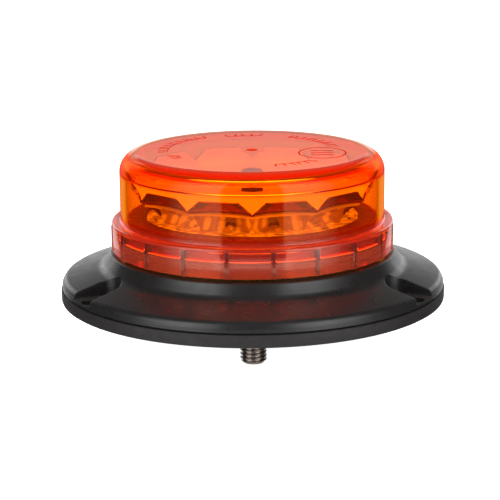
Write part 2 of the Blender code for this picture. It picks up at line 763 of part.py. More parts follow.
def main():
    clear_scene()
    collection(COLLECTION)
    collection(CUTTERS)
    base_housing()
    base_gasket()
    stud_parts()
    floor_fittings()
    driver_deck()
    led_deck()
    rings()
    reflector()
    lens()


main()
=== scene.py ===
"""The looks of a low amber LED warning beacon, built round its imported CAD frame.

Lengths are in millimetres in the constants and profiles, and MM turns them into metres.
The camera looks along +Y. Every piece stands in the frame's own place.
"""

import json
import math

import bmesh
import bpy
from mathutils import Matrix, Vector

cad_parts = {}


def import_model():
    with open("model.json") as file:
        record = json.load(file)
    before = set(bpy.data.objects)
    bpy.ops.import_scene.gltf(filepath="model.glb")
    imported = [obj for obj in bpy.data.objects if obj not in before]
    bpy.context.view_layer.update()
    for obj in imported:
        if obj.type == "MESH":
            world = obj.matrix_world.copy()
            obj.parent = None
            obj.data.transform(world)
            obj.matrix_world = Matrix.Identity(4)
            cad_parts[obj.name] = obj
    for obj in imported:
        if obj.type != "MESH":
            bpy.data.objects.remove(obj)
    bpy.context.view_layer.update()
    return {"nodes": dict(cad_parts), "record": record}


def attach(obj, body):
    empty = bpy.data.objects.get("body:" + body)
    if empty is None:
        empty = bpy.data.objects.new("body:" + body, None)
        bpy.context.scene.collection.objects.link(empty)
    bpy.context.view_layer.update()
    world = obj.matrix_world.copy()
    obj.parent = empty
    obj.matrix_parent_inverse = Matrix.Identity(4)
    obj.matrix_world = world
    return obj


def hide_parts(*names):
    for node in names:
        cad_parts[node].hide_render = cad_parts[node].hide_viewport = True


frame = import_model()

MM = 0.001
GAP = 0.3  # between pieces that touch

# Base
PAD_RADIUS = 70.0
PAD_TOP = 4.7
BASE_BOTTOM = PAD_TOP + GAP
RIM_RADIUS = 69.6
FLOOR_TOP = 8.0
SHOULDER_TOP = 17.5
SPIGOT_RADIUS = 47.0
SPIGOT_TOP = 22.3
NECK_RADIUS = 45.3
NECK_TOP = 26.0
CAVITY_RADIUS = 42.6
POCKET_ANGLES = (-150, -30, 90)
POCKET_WIDTH = 12.8
POCKET_END = 54.2
POCKET_FLOOR = 6.2
SCREW_CIRCLE = 65.0
SLOT_WIDTH = 6.6
SLOT_LENGTH = 7.6
POST_CIRCLE = 20.0
POST_ANGLES = (30, 150, 270)
GROMMET_PLACE = (-28.0, 12.0)
VENT_PLACE = (28.0, 12.0)

# Stud
STUD_RADIUS = 5.0
STUD_END = -26.0
THREAD_PITCH = 1.5
THREAD_DEPTH = 0.92
HEAD_BOTTOM = 10.6

# Lens
LENS_TOP = 53.9
LENS_RADIUS = 48.0
LENS_WALL = 2.2
LENS_SHOULDER = 7.0
LENS_TOP_WALL = 3.6  # the top and the shoulder are thicker than the side wall
INNER_STEP = 0.5  # how far under the shoulder they begin
SHOULDER_TINT = LENS_TOP - LENS_SHOULDER - INNER_STEP - 0.6  # the wall is thicker and redder above this
LENS_IOR = 1.58
LENS_ROUGHNESS = 0.012
LENS_PAINTED_GLOW = 26.0  # painted glow: light the plastic gives off from inside, strongest where the view runs a long way through it
LIP_BOTTOM = 24.2
LEDGE_TOP = 29.2
SKIRT_RADIUS = 51.2
SKIRT_WALL = 1.6
SKIRT_BOTTOM = 18.7
RIBS = 20
RIB_OFFSET = -10
RIB_HALF = 1.05  # degrees
RIB_PROUD = 0.28
RIB_BOTTOM = 24.7
LUGS = 3
LUG_ANGLE = 90
LUG_HALF = 8.0
LEAD = 24.0
LENS_LUG = (47.6, 18.8, 20.3)  # inner radius, bottom and top
BASE_LUG = (49.2, 20.7, 21.7)  # outer radius, bottom and top

# Marks on the lens's top: rows of plain ticks (from and to in degrees, radius, pitch) and an oval
TICK_ROWS = (
    (124, 184, 32.5, 5.5),
    (200, 209, 30.5, 4.5),
    (84, 108, 31.0, 6.0),
    (12, 62, 30.8, 5.5),
    (286, 314, 31.0, 5.5),
)
OVAL = (25.2, -6.8, 8.4, 10.4)  # centre, half its width and half its depth

# LED deck and reflector
BOARD_RADIUS = 38.3
BOARD_BOTTOM = 29.0
BOARD_TOP = 30.6
LED_CIRCLE = 33.6
SCOOPS = 12
SCOOP_STEPS = 20
CROWN_BOTTOM = BOARD_TOP + GAP
NOTCH_BOTTOM = 39.8
TOOTH_TOP = 43.8
TOOTH_HALF = 9
TOOTH_LEAN = 0.25  # how far a tooth leans out for each millimetre of its height
RIDGE_BOTTOM_RADIUS = 35.3
RIDGE_TOP_RADIUS = 44.6
SCOOP_DEPTH = 4.4
CROWN_WALL = 1.3
LINER_WALL = 0.4  # the part of that wall with the satin inner face
PLATE_TOP = 39.5
PLATE_THICKNESS = 1.5
PAN_SCREW = (PLATE_TOP + GAP, 4.0, 4.0, 1.6, 27.0)  # seat, head's radius and height, shank's radius, end

MIRROR_PAINTED_SHADE = (34.5, 42.5)  # the crown's mirror darkens to brown between these heights, towards its teeth: painted shade

FLOOR_HEIGHT = STUD_END - 0.2

# Surroundings, as (position, brightness) steps. Round the object, position 0 is straight behind it and 1 is
# where the camera stands. By height, position 0.5 is the horizon and 1 is overhead.
# The backdrop is a white sheet behind the object. The sheen is a pair of strips beside it, which light the
# flange's top. The fill is a low card in front. The softboxes leave a dark gap in front of the object.
BACKDROP = ((0.0, 1.1), (0.015, 1.1), (0.03, 0.9), (0.085, 0.75), (0.10, 0.02), (1.0, 0.02))
BACKDROP_HEIGHT = (
    (0.0, 0.6),
    (0.36, 1.0),
    (0.555, 1.0),
    (0.578, 0.37),
    (0.597, 0.37),
    (0.603, 0.6),
    (0.63, 0.6),
    (0.66, 0.14),
    (0.80, 0.10),
)
SHEEN = ((0.0, 0.0), (0.02, 0.0), (0.04, 1.0), (0.12, 1.0), (0.17, 0.0), (1.0, 0.0))
SHEEN_HEIGHT = ((0.0, 0.0), (0.50, 0.0), (0.53, 1.1), (0.70, 1.2), (0.75, 0.0))
FILL = ((0.0, 0.0), (0.90, 0.0), (0.95, 1.0), (1.0, 1.0))
FILL_HEIGHT = ((0.0, 0.0), (0.20, 0.0), (0.24, 1.3), (0.31, 1.3), (0.345, 0.0), (1.0, 0.0))
SOFTBOXES = ((0.0, 0.0), (0.60, 0.0), (0.78, 2.6), (0.9445, 3.2), (0.9475, 0.04), (1.0, 0.02))
SOFTBOX_HEIGHT = ((0.0, 0.3), (0.36, 0.60), (0.50, 0.62), (0.55, 1.1), (0.84, 1.1), (0.90, 0.1), (1.0, 0.05))

# Camera: place in metres, pitch and roll in degrees
CAMERA_PLACE = (0.0, -0.6349, 0.1712)
CAMERA_PITCH = 13.68
CAMERA_ROLL = -0.46
CAMERA_LENS = 128.5
CAMERA_SHIFT = -0.0052


# ---------------------------------------------------------------- mesh helpers


def polar(radius, degrees):
    angle = math.radians(degrees)
    return radius * math.cos(angle), radius * math.sin(angle)


def arc(centre, radius, start, end, steps):
    """(radius, height) points of an arc, from one angle to another in degrees from the radial direction."""
    found = []
    for step in range(steps + 1):
        angle = math.radians(start + (end - start) * step / steps)
        found.append((centre[0] + radius * math.cos(angle), centre[1] + radius * math.sin(angle)))
    return found


def finish_mesh(name, shape, sharp=30):
    """A bmesh in millimetres made into a mesh in metres, with its normals out."""
    bmesh.ops.remove_doubles(shape, verts=shape.verts, dist=0.0004)
    bmesh.ops.dissolve_degenerate(shape, edges=shape.edges, dist=0.0002)
    bmesh.ops.recalc_face_normals(shape, faces=shape.faces)
    bmesh.ops.scale(shape, vec=(MM, MM, MM), verts=shape.verts)
    mesh = bpy.data.meshes.new(name)
    shape.to_mesh(mesh)
    shape.free()
    mesh.shade_smooth()
    mesh.set_sharp_from_angle(angle=math.radians(sharp))
    return mesh


def loops_mesh(name, loops, closed=False, sharp=30):
    """Faces between loops of points, where one point is a pole. closed joins the last loop to the first."""
    shape = bmesh.new()
    rows = [[shape.verts.new(point) for point in loop] for loop in loops]
    for lower, upper in zip(rows, rows[1:] + (rows[:1] if closed else [])):
        count = max(len(lower), len(upper))
        for i in range(count):
            j = (i + 1) % count
            corners = [lower[i % len(lower)]]
            if len(lower) > 1:
                corners.append(lower[j])
            if len(upper) > 1:
                corners.append(upper[j])
            corners.append(upper[i % len(upper)])
            shape.faces.new(corners)
    return finish_mesh(name, shape, sharp)


def revolve(name, outline, steps=240, closed=False, sharp=30):
    """The outline, (radius, height) points, turned about Z. Points at radius 0 become poles."""
    loops = []
    for radius, height in outline:
        if radius < 1e-6:
            loops.append([(0.0, 0.0, height)])
        else:
            loops.append([(*polar(radius, step * 360 / steps), height) for step in range(steps)])
    return loops_mesh(name, loops, closed, sharp)


def box_into(shape, size, centre, turn=0.0):
    place = Matrix.Translation(centre) @ Matrix.Rotation(math.radians(turn), 4, "Z")
    return bmesh.ops.create_cube(shape, size=1.0, matrix=place @ Matrix.Diagonal((*size, 1.0)))


def bar_into(shape, radius, bottom, top, place=(0.0, 0.0), segments=48, end_radius=None):
    bmesh.ops.create_cone(
        shape,
        cap_ends=True,
        segments=segments,
        radius1=radius,
        radius2=radius if end_radius is None else end_radius,
        depth=top - bottom,
        matrix=Matrix.Translation((*place, (bottom + top) / 2)),
    )


def add(name, mesh, material, body, slot, *nodes):
    """A visible piece that rides on a body and stands for these CAD nodes."""
    obj = bpy.data.objects.new(name, mesh)
    bpy.context.scene.collection.objects.link(obj)
    mesh.materials.clear()
    mesh.materials.append(material)
    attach(obj, body)
    if nodes:
        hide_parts(*nodes)
    return obj


def cutter(name, mesh):
    obj = bpy.data.objects.new(name, mesh)
    bpy.context.scene.collection.objects.link(obj)
    return obj


def boolean(obj, others, operation="DIFFERENCE"):
    """Cuts or joins the others into obj, and removes them."""
    for other in others:
        modifier = obj.modifiers.new(other.name, "BOOLEAN")
        modifier.operation = operation
        modifier.solver = "EXACT"
        modifier.object = other
    bpy.context.view_layer.update()
    graph = bpy.context.evaluated_depsgraph_get()
    made = bpy.data.meshes.new_from_object(obj.evaluated_get(graph))
    obj.modifiers.clear()
    obj.data = made
    for other in others:
        bpy.data.objects.remove(other, do_unlink=True)


# ------------------------------------------------------------ material helpers


class Look:
    """A material with one Principled shader, and short calls that add nodes to it."""

    def __init__(self, name, colour=(0.8, 0.8, 0.8), roughness=0.5, metallic=0.0, **sockets):
        self.material = bpy.data.materials.new(name)
        self.material.use_nodes = True
        self.tree = self.material.node_tree
        self.shader = self.tree.nodes["Principled BSDF"]
        self.output = self.tree.nodes["Material Output"]
        self.put("Base Color", (*colour, 1.0))
        self.put("Roughness", roughness)
        self.put("Metallic", metallic)
        for socket, value in sockets.items():
            self.put(socket.replace("_", " "), value)
        self.space = None

    def put(self, socket, value):
        self.shader.inputs[socket].default_value = value

    def node(self, kind, **values):
        made = self.tree.nodes.new(kind)
        for name, value in values.items():
            setattr(made, name, value)
        return made

    def link(self, source, target):
        self.tree.links.new(source, target)

    def place(self):
        """The object's own coordinates."""
        if self.space is None:
            self.space = self.node("ShaderNodeTexCoord").outputs["Object"]
        return self.space

    def stretched(self, scale):
        mapping = self.node("ShaderNodeMapping")
        mapping.inputs["Scale"].default_value = scale
        self.link(self.place(), mapping.inputs["Vector"])
        return mapping.outputs["Vector"]

    def noise(self, scale, detail=3.0, roughness=0.5, vector=None):
        made = self.node("ShaderNodeTexNoise")
        made.inputs["Scale"].default_value = scale
        made.inputs["Detail"].default_value = detail
        made.inputs["Roughness"].default_value = roughness
        self.link(vector or self.place(), made.inputs["Vector"])
        return made.outputs["Fac"]

    def height(self):
        split = self.node("ShaderNodeSeparateXYZ")
        self.link(self.place(), split.inputs["Vector"])
        return split.outputs["Z"]

    def mixed(self, factor, first, second):
        """Two shaders mixed."""
        made = self.node("ShaderNodeMixShader")
        self.link(factor, made.inputs["Fac"])
        self.link(first, made.inputs[1])
        self.link(second, made.inputs[2])
        return made.outputs["Shader"]

    def spread(self, source, low, high, start=0.3, end=0.7):
        """source taken from start..end to low..high."""
        made = self.node("ShaderNodeMapRange")
        for socket, value in (("From Min", start), ("From Max", end), ("To Min", low), ("To Max", high)):
            if isinstance(value, (int, float)):
                made.inputs[socket].default_value = value
            else:
                self.link(value, made.inputs[socket])
        self.link(source, made.inputs["Value"])
        return made.outputs["Result"]

    def blend(self, factor, first, second):
        made = self.node("ShaderNodeMix", data_type="RGBA")
        for socket, value in zip(made.inputs[6:8], (first, second)):
            if isinstance(value, tuple):
                socket.default_value = (*value, 1.0)
            else:
                self.link(value, socket)
        self.link(factor, made.inputs[0])
        return made.outputs[2]

    def colour(self, source):
        self.link(source, self.shader.inputs["Base Color"])

    def roughness(self, source):
        self.link(source, self.shader.inputs["Roughness"])

    def bump(self, source, distance, strength=1.0, rounding=0.0):
        made = self.node("ShaderNodeBump")
        made.inputs["Strength"].default_value = strength
        made.inputs["Distance"].default_value = distance
        self.link(source, made.inputs["Height"])
        if rounding:
            self.link(self.rounded(rounding), made.inputs["Normal"])
        self.link(made.outputs["Normal"], self.shader.inputs["Normal"])

    def rounded(self, radius):
        made = self.node("ShaderNodeBevel", samples=4)
        made.inputs["Radius"].default_value = radius
        return made.outputs["Normal"]


def amber_inside(look):
    """The dye takes blue and some green out along the way. The volume also glows a little where it is thick,
    which is painted glow since the plastic is no lamp.
    """
    absorb = look.node("ShaderNodeVolumeAbsorption")
    absorb.inputs["Color"].default_value = (0.9965, 0.9667, 0.10, 1.0)
    absorb.inputs["Density"].default_value = 1800.0
    # Painted glow: an emission in the lens's volume, reddest where the view runs through thick plastic.
    painted_glow = look.node("ShaderNodeEmission")
    painted_glow.inputs["Color"].default_value = (1.0, 0.06, 0.0, 1.0)
    painted_glow.inputs["Strength"].default_value = LENS_PAINTED_GLOW
    volume = look.node("ShaderNodeAddShader")
    look.link(absorb.outputs["Volume"], volume.inputs[0])
    look.link(painted_glow.outputs["Emission"], volume.inputs[1])
    look.link(volume.outputs["Shader"], look.output.inputs["Volume"])


def amber_lens():
    """Clear amber: plain refraction through the dome's outer face, and a milky coat on the skirt."""
    look = Look("amber_polycarbonate", (1.0, 0.70, 0.20), LENS_ROUGHNESS, IOR=LENS_IOR)
    height = look.height()
    dome = look.spread(height, 0.0, 1.0, (LEDGE_TOP + 0.8) * MM, (LEDGE_TOP + 1.6) * MM)
    skirt = look.spread(height, 0.88, 0.965, LIP_BOTTOM * MM, (LIP_BOTTOM + 0.4) * MM)
    look.link(look.spread(dome, skirt, 0.985, 0.0, 1.0), look.shader.inputs["Transmission Weight"])
    look.colour(look.blend(dome, (1.0, 0.16, 0.06), (1.0, 0.43, 0.10)))
    look.put("Specular Tint", (1.0, 0.76, 0.62, 1.0))
    look.link(look.spread(dome, 0.5, 0.0, 0.0, 1.0), look.shader.inputs["Coat Weight"])
    look.put("Coat Roughness", 0.4)
    amber_inside(look)
    bend = look.node("ShaderNodeBsdfRefraction")
    bend.inputs["IOR"].default_value = LENS_IOR
    bend.inputs["Roughness"].default_value = LENS_ROUGHNESS
    thick = look.spread(height, 0.0, 1.0, SHOULDER_TINT * MM, (SHOULDER_TINT + 1.2) * MM)
    look.link(look.blend(thick, (1.0, 0.66, 0.32), (1.0, 0.24, 0.08)), bend.inputs["Color"])
    facing = look.node("ShaderNodeLayerWeight").outputs["Facing"]
    side = look.spread(facing, 0.66, 0.88, 0.15, 0.45)
    wall = look.spread(height, side, 0.0, (LENS_TOP - 1.2) * MM, (LENS_TOP - 0.2) * MM)
    inner = look.node("ShaderNodeNewGeometry").outputs["Backfacing"]
    outside = look.spread(inner, wall, 0.0, 0.0, 1.0)
    share = look.spread(dome, 0.0, outside, 0.0, 1.0)
    body = look.mixed(share, look.shader.outputs["BSDF"], bend.outputs["BSDF"])
    clear = look.node("ShaderNodeBsdfTransparent")
    clear.inputs["Color"].default_value = (1.0, 0.84, 0.45, 1.0)
    shadow = look.node("ShaderNodeLightPath").outputs["Is Shadow Ray"]
    look.link(look.mixed(shadow, body, clear.outputs["BSDF"]), look.output.inputs["Surface"])
    look.bump(look.noise(60.0, 1.0), 0.00004, 0.25)
    return look.material


def frosted_amber():
    look = Look("frosted_amber", roughness=0.7, Specular_IOR_Level=0.0)
    look.colour(look.blend(look.noise(900.0, 3.0), (0.34, 0.006, 0.002), (0.50, 0.015, 0.004)))
    look.bump(look.noise(5000.0, 2.0), 0.00002, 0.6)
    return look.material


def rib_painted_shade():
    look = Look("rib_painted_shade", roughness=0.5, Specular_IOR_Level=0.1)
    # Painted shade: a near-black red for the ribs, where the clear plastic looks darker through its bends.
    look.colour(look.blend(look.noise(700.0, 3.0), (0.06, 0.001, 0.0005), (0.11, 0.003, 0.001)))
    look.bump(look.noise(3000.0, 2.0), 0.00002, 0.5)
    return look.material


def amber_bead_painted_glow():
    look = Look("amber_bead_painted_glow", roughness=0.5)
    look.colour(look.blend(look.noise(500.0, 3.0), (0.90, 0.20, 0.02), (1.0, 0.34, 0.04)))
    look.bump(look.noise(3000.0, 2.0), 0.00002, 0.5)
    # Painted glow: the bead gives off yellow light though it is no lamp, drawing a bright line round the
    # collar.
    look.put("Emission Color", (1.0, 0.95, 0.2, 1.0))
    look.put("Emission Strength", 1.2)
    return look.material


def black_plastic():
    look = Look("black_moulded_plastic", roughness=0.30)
    look.colour(look.blend(look.noise(35.0, 4.0), (0.009, 0.0085, 0.0085), (0.014, 0.0132, 0.0132)))
    look.roughness(look.spread(look.noise(220.0, 4.0), 0.26, 0.34))
    look.bump(look.noise(2600.0, 2.0), 0.00003, 0.35, rounding=0.0005)
    return look.material


def black_rubber():
    look = Look("black_rubber", roughness=0.62)
    look.colour(look.blend(look.noise(90.0, 5.0), (0.008, 0.0066, 0.0066), (0.014, 0.0118, 0.0118)))
    look.roughness(look.spread(look.noise(400.0, 4.0), 0.52, 0.74))
    look.bump(look.noise(3200.0, 3.0), 0.00005, 0.5, rounding=0.0004)
    return look.material


def zinc_steel():
    look = Look("zinc_plated_steel", roughness=0.27, metallic=1.0)
    look.colour(look.blend(look.noise(320.0, 5.0), (0.29, 0.25, 0.225), (0.43, 0.375, 0.34)))
    look.roughness(look.spread(look.noise(900.0, 4.0), 0.20, 0.38))
    look.bump(look.noise(1.0, 3.0, vector=look.stretched((900.0, 900.0, 6000.0))), 0.00003, 0.4)
    return look.material


def dark_steel():
    look = Look("black_oxide_steel", roughness=0.42, metallic=0.85)
    look.colour(look.blend(look.noise(500.0, 4.0), (0.012, 0.012, 0.014), (0.035, 0.034, 0.036)))
    look.bump(look.noise(2500.0, 3.0), 0.00002, 0.4)
    return look.material


def mirror_metal():
    look = Look("vacuum_metallised_plastic", roughness=0.05, metallic=1.0)
    # Painted shade: the mirror's colour darkens to brown towards the teeth.
    painted_shade = look.spread(look.height(), 0.0, 1.0, MIRROR_PAINTED_SHADE[0] * MM, MIRROR_PAINTED_SHADE[1] * MM)
    cloud = look.blend(look.noise(260.0, 4.0), (0.56, 0.46, 0.44), (0.95, 0.90, 0.86))
    look.colour(look.blend(painted_shade, cloud, (0.34, 0.16, 0.12)))
    look.roughness(look.spread(look.noise(260.0, 4.0), 0.03, 0.11))
    look.bump(look.noise(1.0, 2.0, vector=look.stretched((520.0, 520.0, 190.0))), 0.00012, 0.6)
    return look.material


def satin_metal():
    look = Look("satin_metallised_plastic", roughness=0.4, metallic=0.4)
    look.colour(look.blend(look.noise(150.0, 4.0), (0.86, 0.86, 0.84), (0.93, 0.93, 0.91)))
    look.roughness(look.spread(look.noise(300.0, 4.0), 0.34, 0.46))
    look.bump(look.noise(1500.0, 2.0), 0.00003, 0.4)
    return look.material


def red_plastic():
    look = Look("deep_amber_plastic", roughness=0.30, Specular_IOR_Level=0.12)
    look.colour(look.blend(look.noise(140.0, 4.0), (0.17, 0.0005, 0.0), (0.24, 0.001, 0.0)))
    look.roughness(look.spread(look.noise(500.0, 3.0), 0.24, 0.36))
    look.bump(look.noise(1800.0, 2.0), 0.00003, 0.3)
    return look.material


def led_board_look():
    """White solder mask with a painted glow in patches the size of the pads, which stands in for light
    trapped round it.
    """
    look = Look("white_board_painted_glow", roughness=0.42, Emission_Strength=0.9)
    cells = look.node("ShaderNodeTexVoronoi")
    cells.inputs["Scale"].default_value = 400.0
    look.link(look.place(), cells.inputs["Vector"])
    patch = look.spread(cells.outputs["Distance"], 0.0, 1.0, 0.25, 0.60)
    look.colour(look.blend(patch, (0.84, 0.84, 0.80), (0.60, 0.58, 0.54)))
    # Painted glow: the board gives off warm light in patches, though it is no lamp.
    painted_glow = look.blend(patch, (1.0, 0.46, 0.08), (0.26, 0.05, 0.01))
    look.link(painted_glow, look.shader.inputs["Emission Color"])
    look.roughness(look.spread(look.noise(600.0, 3.0), 0.35, 0.5))
    look.bump(look.noise(900.0, 2.0), 0.00004, 0.5)
    return look.material


def board(name, low, high):
    """A circuit board: solder mask with its weave faintly showing."""
    look = Look(name, roughness=0.42)
    weave = look.node("ShaderNodeTexBrick", offset=0.5)
    weave.inputs["Scale"].default_value = 260.0
    weave.inputs["Color1"].default_value = (0.35, 0.35, 0.35, 1.0)
    weave.inputs["Color2"].default_value = (0.65, 0.65, 0.65, 1.0)
    weave.inputs["Mortar"].default_value = (0.5, 0.5, 0.5, 1.0)
    look.link(look.place(), weave.inputs["Vector"])
    look.colour(look.blend(weave.outputs["Color"], low, high))
    look.roughness(look.spread(look.noise(600.0, 3.0), 0.35, 0.5))
    look.bump(weave.outputs["Color"], 0.00004, 0.5)
    return look.material


def grained(name, low, high, roughness, metallic=0.0, scale=700.0):
    """A moulded or machined surface with a fine grain."""
    look = Look(name, roughness=roughness, metallic=metallic)
    look.colour(look.blend(look.noise(scale / 3, 4.0), low, high))
    look.roughness(look.spread(look.noise(scale, 4.0), roughness * 0.8, min(1.0, roughness * 1.25)))
    look.bump(look.noise(scale * 3, 2.0), 0.00003, 0.4)
    return look.material


def phosphor():
    look = Look("led_phosphor", roughness=0.22, Coat_Weight=0.6)
    look.colour(look.blend(look.noise(3000.0, 3.0), (0.86, 0.62, 0.06), (0.95, 0.76, 0.12)))
    return look.material


# ------------------------------------------------------------------------ lens


def near(angle, first, pitch):
    """Degrees from this angle to the nearest of first, first + pitch, and so on."""
    return (angle - first + pitch / 2) % pitch - pitch / 2


def lens_columns():
    """Angles round the lens, closer at ribs and lugs: (angle, on a rib, on a lug, degrees off the lug)."""
    first_rib = RIB_OFFSET - 90
    special = []
    for number in range(RIBS):
        centre = first_rib + number * 360 / RIBS
        special += [centre + side * (RIB_HALF + step) for side in (-1, 1) for step in (-0.08, 0.08)]
        special.append(centre)
    for number in range(LUGS):
        centre = LUG_ANGLE + number * 360 / LUGS
        special += [centre + side * (LUG_HALF + step) for side in (-1, 1) for step in (-0.05, 0.05)]
    special = sorted(angle % 360 for angle in special)
    angles = list(special)
    for step in range(240):
        angle = step * 1.5
        if min(abs(near(angle, other, 360)) for other in special) > 0.4:
            angles.append(angle)
    found = []
    for angle in sorted(angles):
        on_rib = abs(near(angle, first_rib, 360 / RIBS)) < RIB_HALF
        lug_turn = near(angle, LUG_ANGLE, 360 / LUGS)
        found.append((angle, on_rib, abs(lug_turn) < LUG_HALF, lug_turn))
    return found


def lens_outline(on_rib, on_lug, lug_turn):
    """The lens's cross-section at one angle: outside from its centre, round the skirt, and back inside."""
    proud = RIB_PROUD if on_rib else 0.0
    inner = LENS_RADIUS - LENS_WALL
    centre = (LENS_RADIUS - LENS_SHOULDER, LENS_TOP - LENS_SHOULDER)
    step = centre[1] - INNER_STEP
    skirt = SKIRT_RADIUS - SKIRT_WALL
    ceiling = LEDGE_TOP - 1.6
    rise = LEAD * lug_turn / 360 if on_lug else 0.0
    lug_inner = LENS_LUG[0] if on_lug else skirt
    gate = [(0.0, LENS_TOP - 0.55), (1.50, LENS_TOP - 0.50), (2.05, LENS_TOP - 0.30), (2.30, LENS_TOP)]
    gate += [(2.40, LENS_TOP), (4.40, LENS_TOP), (4.50, LENS_TOP), (4.70, LENS_TOP - 0.14), (4.90, LENS_TOP)]
    gate += [(5.00, LENS_TOP), (centre[0] - 0.3, LENS_TOP)]
    points = gate + arc(centre, LENS_SHOULDER, 90, 0, 18)
    points += [(LENS_RADIUS, centre[1] - 0.4), (LENS_RADIUS, LEDGE_TOP + 0.9)]
    points += arc((LENS_RADIUS + 0.5, LEDGE_TOP + 0.5), 0.5, 180, 270, 4)
    points += arc((SKIRT_RADIUS - 1.0, LEDGE_TOP - 1.0), 1.0, 90, 12, 5)
    points += [(SKIRT_RADIUS + proud, LEDGE_TOP - 1.3), (SKIRT_RADIUS + proud, SKIRT_BOTTOM + 0.3)]
    points += [(SKIRT_RADIUS - 0.2 + proud, SKIRT_BOTTOM), (skirt + 0.1, SKIRT_BOTTOM)]
    low, high = LENS_LUG[1] + rise, LENS_LUG[2] + rise
    points += [(skirt, min(low, SKIRT_BOTTOM + 0.1)), (lug_inner, low), (lug_inner, high), (skirt, high)]
    points += [(skirt, ceiling - 0.2), (skirt - 0.2, ceiling), (LENS_RADIUS + 0.2, ceiling)]
    points += [(LENS_RADIUS, ceiling - 0.2), (LENS_RADIUS, LIP_BOTTOM + 0.2)]
    points += [(LENS_RADIUS - 0.2, LIP_BOTTOM), (inner + 0.2, LIP_BOTTOM), (inner, LIP_BOTTOM + 0.2)]
    inner_round = LENS_SHOULDER - LENS_TOP_WALL
    points += [(inner, LIP_BOTTOM + 0.6), (inner, step - 0.5), (inner, step)]
    points += [(centre[0] + inner_round + 0.3, step + 0.1), (centre[0] + inner_round, step + 0.3)]
    points += arc(centre, inner_round, 0, 90, 14)
    return points + [(centre[0] - 0.3, LENS_TOP - LENS_TOP_WALL), (0.0, LENS_TOP - LENS_TOP_WALL)]


def lens(material):
    columns = [(angle, lens_outline(*states)) for angle, *states in lens_columns()]
    loops = []
    for level in range(len(columns[0][1])):
        if columns[0][1][level][0] < 1e-6:
            loops.append([(0.0, 0.0, columns[0][1][level][1])])
        else:
            loops.append([(*polar(points[level][0], angle), points[level][1]) for angle, points in columns])
    mesh = loops_mesh("lens_shell", loops, sharp=35)
    add("lens_shell", mesh, material, "lens_body", "amber_lens", "lens")


def ribs(material):
    """At each grip, a web between the dome and the skirt, and a thin strip inside the skirt's wall, both in
    near-black red. This is painted shade for the darkening that the ribs give the view through the plastic.
    """
    shape = bmesh.new()
    web = (48.85, 1.40, 1.3, RIB_BOTTOM, LEDGE_TOP - 1.65)
    shade_strip = (SKIRT_RADIUS - 0.35, 0.50, 1.0, SKIRT_BOTTOM + 0.4, LEDGE_TOP - 1.4)
    for number in range(RIBS):
        angle = RIB_OFFSET - 90 + number * 360 / RIBS
        for radius, depth, width, low, high in (web, shade_strip):
            box_into(shape, (depth, width, high - low), (*polar(radius, angle), (low + high) / 2), angle)
    add("collar_ribs", finish_mesh("collar_ribs", shape), material, "lens_body", "amber_lens")


def lip_edge(material):
    """The bead under the dome's wall, where it meets the seal. Its material glows, which is a painted bright
    line round the collar.
    """
    low, high = LIP_BOTTOM - 0.16, LIP_BOTTOM - 0.01
    outline = [(47.2, low), (48.1, low), (48.2, low + 0.07), (48.1, high), (47.2, high)]
    add("lip_edge", revolve("lip_edge", outline, closed=True), material, "lens_body", "amber_lens")


def moulding_marks(material):
    """Plain raised marks round the lens's top: an oval outline and short bars, with no lettering."""
    height = LENS_TOP - 0.02
    shape = bmesh.new()

    def stroke(points, width):
        """A low bead along the points."""
        rows = []
        for i, (x, y) in enumerate(points):
            before, after = points[max(i - 1, 0)], points[min(i + 1, len(points) - 1)]
            along = Vector((after[0] - before[0], after[1] - before[1])).normalized()
            side = Vector((-along.y, along.x)) * width / 2
            rows.append([
                shape.verts.new((x + side.x, y + side.y, height)),
                shape.verts.new((x + side.x * 0.5, y + side.y * 0.5, height + 0.10)),
                shape.verts.new((x - side.x * 0.5, y - side.y * 0.5, height + 0.10)),
                shape.verts.new((x - side.x, y - side.y, height)),
            ])
        for lower, upper in zip(rows, rows[1:]):
            for i in range(4):
                j = (i + 1) % 4
                shape.faces.new((lower[i], lower[j], upper[j], upper[i]))
        shape.faces.new(rows[0])
        shape.faces.new(rows[-1])

    for start, end, radius, pitch in TICK_ROWS:
        for number in range(round((end - start) / pitch) + 1):
            angle = start + number * pitch
            stroke([polar(radius - 1.5, angle), polar(radius + 1.5, angle + (number % 3 - 1) * 1.2)], 0.8)
        stroke([polar(radius - 2.0, start + (end - start) * step / 12) for step in range(13)], 0.4)
    turns = [math.radians(8 * step) for step in range(46)]
    x, y, width, depth = OVAL
    stroke([(x + width * math.cos(turn), y + depth * math.sin(turn)) for turn in turns], 0.7)
    for number in (-1, 0, 1):
        stroke([(x - 4.0, y + 4.0 * number), (x + 4.0, y + 4.0 * number)], 1.0)
    mesh = finish_mesh("moulding_marks", shape)
    add("moulding_marks", mesh, material, "lens_body", "amber_lens")


# -------------------------------------------------------------------- reflector


def scoop_radius(phi, height):
    """Outer radius of the reflector, phi degrees from a scoop's centre, at this height."""
    half = math.radians(180 / SCOOPS)
    rise = min(height, NOTCH_BOTTOM) - CROWN_BOTTOM
    full = NOTCH_BOTTOM - CROWN_BOTTOM
    spread = RIDGE_TOP_RADIUS - RIDGE_BOTTOM_RADIUS
    ridge = RIDGE_BOTTOM_RADIUS + spread * (0.34 * rise / full + 0.66 * (rise / full) ** 2)
    ridge += TOOTH_LEAN * max(0.0, height - NOTCH_BOTTOM)
    flat = ridge * math.cos(half) / math.cos(math.radians(phi))
    depth = SCOOP_DEPTH * (TOOTH_TOP - height) / (TOOTH_TOP - CROWN_BOTTOM)
    across = math.radians(phi) / half
    return flat - depth * (1 - across * across)


def crown_top(phi):
    if abs(phi) <= TOOTH_HALF:
        return TOOTH_TOP
    slope = (abs(phi) - TOOTH_HALF) / (180 / SCOOPS - TOOTH_HALF)
    return TOOTH_TOP - slope * (TOOTH_TOP - NOTCH_BOTTOM)


